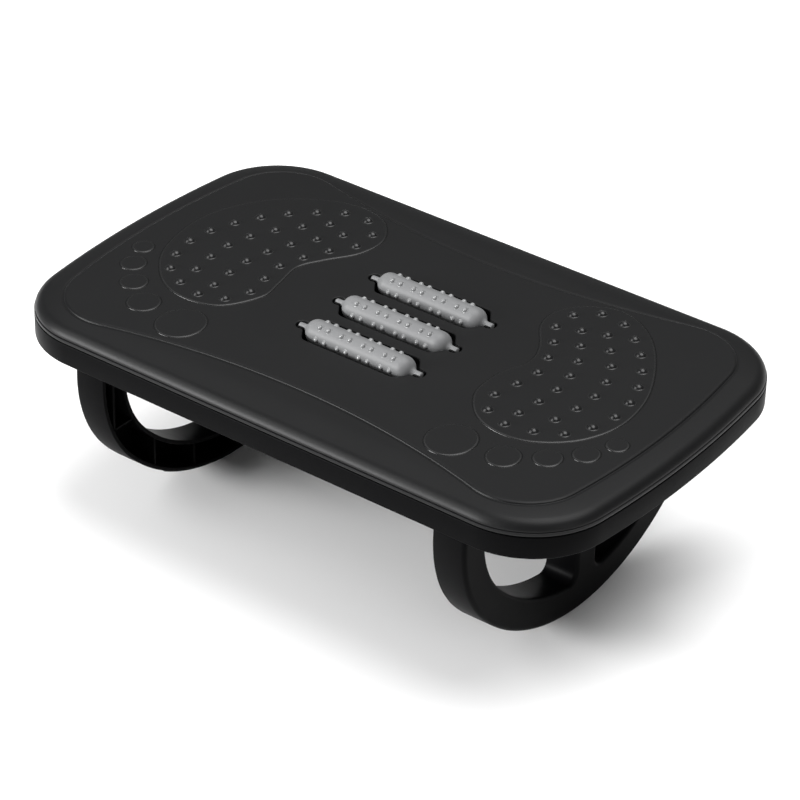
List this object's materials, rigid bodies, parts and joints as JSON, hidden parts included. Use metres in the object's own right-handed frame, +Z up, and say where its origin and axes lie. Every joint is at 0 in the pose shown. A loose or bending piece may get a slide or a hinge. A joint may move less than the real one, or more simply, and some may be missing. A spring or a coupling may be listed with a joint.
{
  "type": "rocking footrest",
  "caption": "Rocking under-desk footrest: a flat deck on two round-bottomed legs, with spiked massage rollers and studded footprints.",
  "frame": {"origin": "on the floor, under the middle of the deck, at the lowest line of the two rockers when the deck is level", "axes": "+X along the deck's long side, +Y from the toe side to the heel side, +Z up"},
  "size_m": [0.45, 0.2764, 0.1586],
  "materials": {
    "deck_plastic": "satin moulded",
    "tray_plastic": "matte moulded",
    "rocker_plastic": "satin moulded",
    "grip_rubber": "matte",
    "roller_plastic": "satin moulded",
    "axle_steel": "drawn",
    "screw_steel": "zinc plated"
  },
  "bodies": {
    "deck": {"top_cover": "deck_plastic", "base_frame": "deck_plastic", "roller_tray": "tray_plastic", "left_rocker": "rocker_plastic", "right_rocker": "rocker_plastic", "left_grip_strip": "grip_rubber", "right_grip_strip": "grip_rubber", "cover_screws": "screw_steel", "tray_screws": "screw_steel", "left_rocker_screws": "screw_steel", "right_rocker_screws": "screw_steel"},
    "front_roller": {"front_roller_upper_shell": "roller_plastic", "front_roller_lower_shell": "roller_plastic", "front_roller_axle": "axle_steel"},
    "middle_roller": {"middle_roller_upper_shell": "roller_plastic", "middle_roller_lower_shell": "roller_plastic", "middle_roller_axle": "axle_steel"},
    "rear_roller": {"rear_roller_upper_shell": "roller_plastic", "rear_roller_lower_shell": "roller_plastic", "rear_roller_axle": "axle_steel"}
  },
  "joints": [
    {"name": "front_roller_spin", "type": "hinge", "parent": "deck", "child": "front_roller", "pos_m": [0, -0.038, 0.1499], "axis": [1, 0, 0], "continuous": true},
    {"name": "middle_roller_spin", "type": "hinge", "parent": "deck", "child": "middle_roller", "pos_m": [0, 0, 0.1499], "axis": [1, 0, 0], "continuous": true},
    {"name": "rear_roller_spin", "type": "hinge", "parent": "deck", "child": "rear_roller", "pos_m": [0, 0.038, 0.1499], "axis": [1, 0, 0], "continuous": true}
  ]
}
